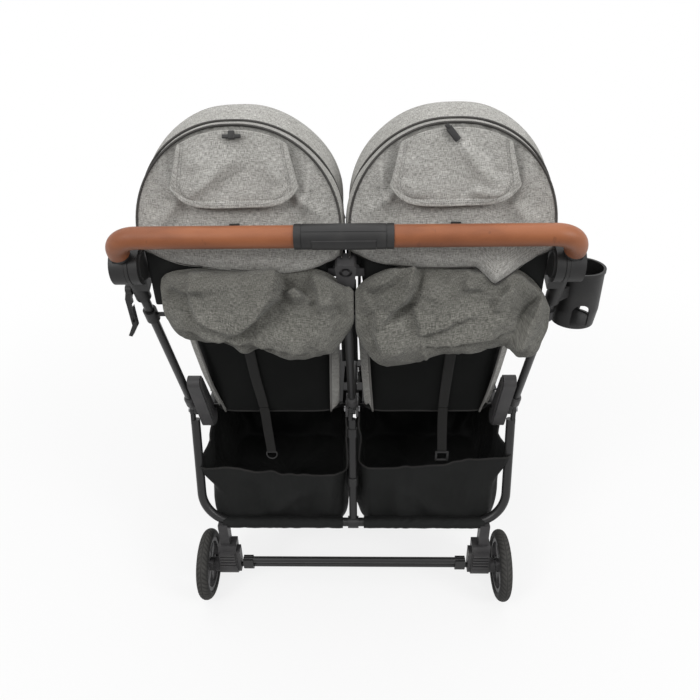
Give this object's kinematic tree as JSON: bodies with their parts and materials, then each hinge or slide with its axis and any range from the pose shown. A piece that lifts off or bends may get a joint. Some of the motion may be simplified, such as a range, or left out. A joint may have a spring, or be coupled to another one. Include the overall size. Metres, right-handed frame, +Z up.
{
  "type": "side by side double stroller",
  "caption": "Folding side by side double stroller with swing canopies, reclining seats, cloth baskets, tilting push bar, cup holder and swivel front casters.",
  "frame": {"origin": "floor point under the middle of the rear axle", "axes": "+Y the way the stroller travels, +X to its right, +Z up"},
  "size_m": [0.821, 0.8241, 1.1381],
  "materials": {
    "frame_black": "satin",
    "plastic_dark": "satin",
    "plastic_black": "satin",
    "steel": "brushed",
    "leatherette_tan": "satin",
    "cloth_grey": "woven",
    "cloth_black": "woven",
    "tyre_black": "matte"
  },
  "bodies": {
    "chassis": {"front_leg_left": "frame_black", "front_leg_right": "frame_black", "front_leg_center": "frame_black", "front_cross_tube": "frame_black", "joint_housing_left": "plastic_dark", "joint_housing_right": "plastic_dark", "joint_housing_center": "plastic_dark", "pivot_bolts": "steel", "seat_boards": "plastic_dark", "seat_pad_left": "cloth_grey", "seat_pad_right": "cloth_grey", "harness_buckles": "plastic_black", "caster_housing_left": "plastic_dark", "caster_housing_right": "plastic_dark", "basket_left": "cloth_black", "basket_right": "cloth_black"},
    "upper_frame": {"upper_tube_left": "frame_black", "upper_tube_right": "frame_black", "upper_tube_center": "frame_black", "lock_collars": "plastic_dark", "hub_inner_left": "plastic_dark", "hub_inner_right": "plastic_dark", "center_bracket": "plastic_dark", "canopy_mounts": "plastic_dark", "canopy_rear_left": "cloth_grey", "canopy_rear_right": "cloth_grey", "cup_holder": "plastic_black", "cup_clamp": "plastic_black"},
    "rear_frame": {"rear_tube": "frame_black", "rear_center_tube": "frame_black", "axle_bracket_left": "plastic_dark", "axle_bracket_right": "plastic_dark", "rear_axle": "steel"},
    "handle": {"handle_tubes": "frame_black", "grip_left": "leatherette_tan", "grip_right": "leatherette_tan", "fold_housing": "plastic_dark", "hub_outer_left": "plastic_dark", "hub_outer_right": "plastic_dark"},
    "fold_trigger": {"fold_trigger": "plastic_black"},
    "brake_bar": {"brake_bar": "frame_black"},
    "storage_latch": {"storage_latch": "plastic_black"},
    "canopy_front_left": {"canopy_front_left": "cloth_grey"},
    "flap_left": {"flap_left": "cloth_grey"},
    "seat_back_left": {"seat_back_left": "cloth_black", "curtain_left": "cloth_grey"},
    "rear_wheel_left": {"rear_rim_left": "plastic_black", "rear_tyre_left": "tyre_black"},
    "fork_left": {"fork_left": "plastic_dark"},
    "front_wheel_left": {"front_wheel_left": "tyre_black"},
    "leg_rest_left": {"leg_rest_left": "cloth_black"},
    "canopy_front_right": {"canopy_front_right": "cloth_grey"},
    "flap_right": {"flap_right": "cloth_grey"},
    "seat_back_right": {"seat_back_right": "cloth_black", "curtain_right": "cloth_grey"},
    "rear_wheel_right": {"rear_rim_right": "plastic_black", "rear_tyre_right": "tyre_black"},
    "fork_right": {"fork_right": "plastic_dark"},
    "front_wheel_right": {"front_wheel_right": "tyre_black"},
    "leg_rest_right": {"leg_rest_right": "cloth_black"}
  },
  "joints": [
    {"name": "fold", "type": "hinge", "parent": "chassis", "child": "upper_frame", "pos_m": [0, 0.08, 0.482], "axis": [-1, 0, 0], "range_deg": [0, 70]},
    {"name": "rear_fold", "type": "hinge", "parent": "chassis", "child": "rear_frame", "pos_m": [0, 0.08, 0.482], "axis": [1, 0, 0], "range_deg": [0, 45], "deforming": ["basket_left", "basket_right"]},
    {"name": "handle_tilt", "type": "hinge", "parent": "upper_frame", "child": "handle", "pos_m": [0, -0.118, 0.908], "axis": [1, 0, 0], "range_deg": [-12, 40]},
    {"name": "trigger_squeeze", "type": "slide", "parent": "handle", "child": "fold_trigger", "axis": [0, 0.6561, 0.7547], "range_m": [0, 0.006], "stiffness_N_per_m": 600},
    {"name": "brake_press", "type": "hinge", "parent": "rear_frame", "child": "brake_bar", "pos_m": [0, 0, 0.0825], "axis": [1, 0, 0], "range_deg": [0, 25]},
    {"name": "latch_swing", "type": "hinge", "parent": "upper_frame", "child": "storage_latch", "pos_m": [-0.3645, -0.093, 0.855], "axis": [1, 0, 0], "range_deg": [0, 40]},
    {"name": "canopy_left_swing", "type": "hinge", "parent": "upper_frame", "child": "canopy_front_left", "pos_m": [-0.167, -0.06457, 0.79304], "axis": [1, 0, 0], "range_deg": [0, 35]},
    {"name": "flap_left_lift", "type": "hinge", "parent": "upper_frame", "child": "flap_left", "pos_m": [-0.167, -0.101, 1.084], "axis": [-1, 0, 0], "range_deg": [0, 80]},
    {"name": "recline_left", "type": "hinge", "parent": "upper_frame", "child": "seat_back_left", "pos_m": [-0.16, 0.096, 0.48], "axis": [1, 0, 0], "range_deg": [0, 35]},
    {"name": "rear_wheel_left_spin", "type": "hinge", "parent": "rear_frame", "child": "rear_wheel_left", "pos_m": [-0.348, 0, 0.0825], "axis": [1, 0, 0], "continuous": true},
    {"name": "caster_left_swivel", "type": "hinge", "parent": "chassis", "child": "fork_left", "pos_m": [-0.3, 0.576, 0.176], "axis": [0, 0, 1], "continuous": true},
    {"name": "front_wheel_left_spin", "type": "hinge", "parent": "fork_left", "child": "front_wheel_left", "pos_m": [-0.3, 0.548, 0.075], "axis": [1, 0, 0], "continuous": true},
    {"name": "leg_rest_left_lift", "type": "hinge", "parent": "chassis", "child": "leg_rest_left", "pos_m": [-0.16, 0.362, 0.442], "axis": [1, 0, 0], "range_deg": [0, 55]},
    {"name": "canopy_right_swing", "type": "hinge", "parent": "upper_frame", "child": "canopy_front_right", "pos_m": [0.167, -0.06457, 0.79304], "axis": [1, 0, 0], "range_deg": [0, 35]},
    {"name": "flap_right_lift", "type": "hinge", "parent": "upper_frame", "child": "flap_right", "pos_m": [0.167, -0.101, 1.084], "axis": [-1, 0, 0], "range_deg": [0, 80]},
    {"name": "recline_right", "type": "hinge", "parent": "upper_frame", "child": "seat_back_right", "pos_m": [0.16, 0.096, 0.48], "axis": [1, 0, 0], "range_deg": [0, 35]},
    {"name": "rear_wheel_right_spin", "type": "hinge", "parent": "rear_frame", "child": "rear_wheel_right", "pos_m": [0.348, 0, 0.0825], "axis": [1, 0, 0], "continuous": true},
    {"name": "caster_right_swivel", "type": "hinge", "parent": "chassis", "child": "fork_right", "pos_m": [0.3, 0.576, 0.176], "axis": [0, 0, 1], "continuous": true},
    {"name": "front_wheel_right_spin", "type": "hinge", "parent": "fork_right", "child": "front_wheel_right", "pos_m": [0.3, 0.548, 0.075], "axis": [1, 0, 0], "continuous": true},
    {"name": "leg_rest_right_lift", "type": "hinge", "parent": "chassis", "child": "leg_rest_right", "pos_m": [0.16, 0.362, 0.442], "axis": [1, 0, 0], "range_deg": [0, 55]}
  ],
  "couplings": [
    {"joint": "rear_fold", "follows": "fold", "ratio": 0.6428}
  ]
}
